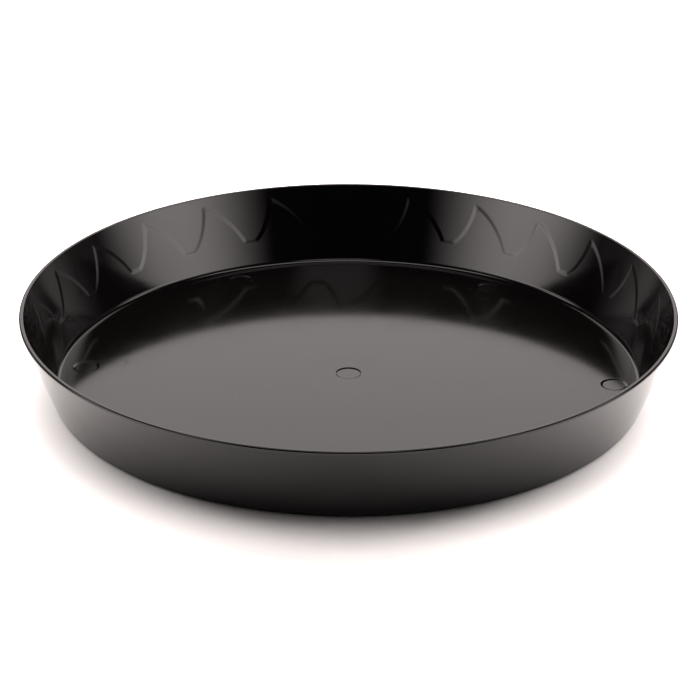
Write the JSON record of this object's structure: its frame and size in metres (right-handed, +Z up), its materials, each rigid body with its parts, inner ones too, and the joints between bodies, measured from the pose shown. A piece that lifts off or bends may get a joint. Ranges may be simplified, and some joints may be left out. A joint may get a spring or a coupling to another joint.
{
  "type": "plant saucer",
  "caption": "Round moulded plastic saucer for a plant pot: crowned floor, outward-leaning wall with a plain outside, and a zigzag fin relief inside the wall.",
  "frame": {"origin": "centre of the ring that the saucer stands on, at ground level", "axes": "+Z up, out of the open side; +X and +Y level; the relief's first wave starts 167.2 degrees anticlockwise from +X"},
  "size_m": [0.4062, 0.4062, 0.0508],
  "materials": {
    "black_plastic": "smooth semi-gloss black"
  },
  "bodies": {
    "root": {"saucer": "black_plastic"}
  },
  "joints": []
}
